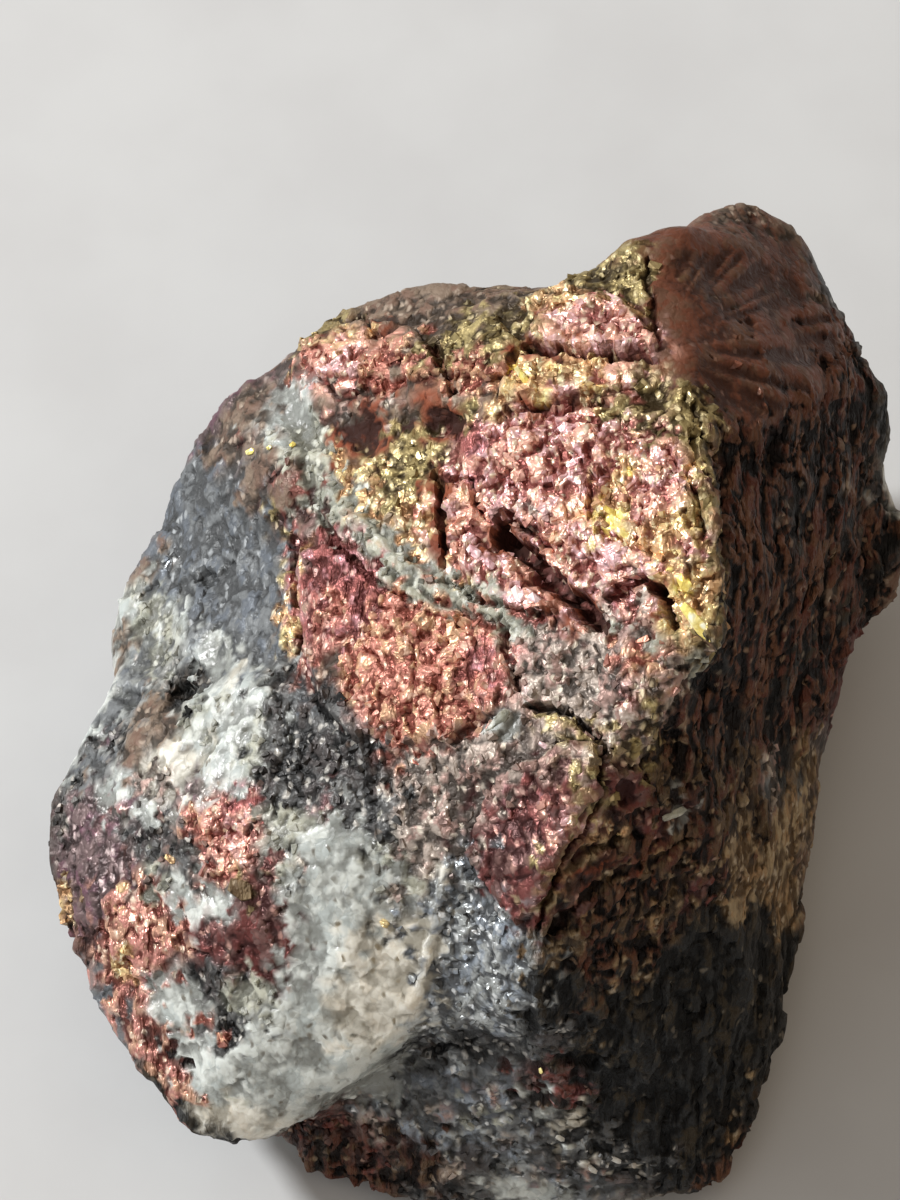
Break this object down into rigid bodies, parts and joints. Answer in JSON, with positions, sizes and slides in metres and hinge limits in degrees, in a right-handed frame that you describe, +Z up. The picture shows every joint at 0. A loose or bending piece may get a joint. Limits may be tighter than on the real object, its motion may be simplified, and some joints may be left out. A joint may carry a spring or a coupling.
{
  "type": "bornite specimen",
  "caption": "Broken natural stone of tarnished bornite with quartz and grey sulphide, resting on a flat underside with a steep crest along one side.",
  "frame": {"origin": "on the table, under the middle of the stone's bounding box", "axes": "+Z up from the flat underside, +Y away from a viewer in front along the stone's longest direction, +X to that viewer's right"},
  "size_m": [0.0572, 0.0616, 0.0384],
  "materials": {
    "bornite": "natural broken metallic mineral, tarnished copper pink, gold and maroon",
    "quartz": "natural milky crystal, grey-white, slightly see-through",
    "sulphide": "natural granular metallic mineral, blue-grey to black"
  },
  "bodies": {
    "root": {"bornite_specimen": "bornite"}
  },
  "joints": []
}
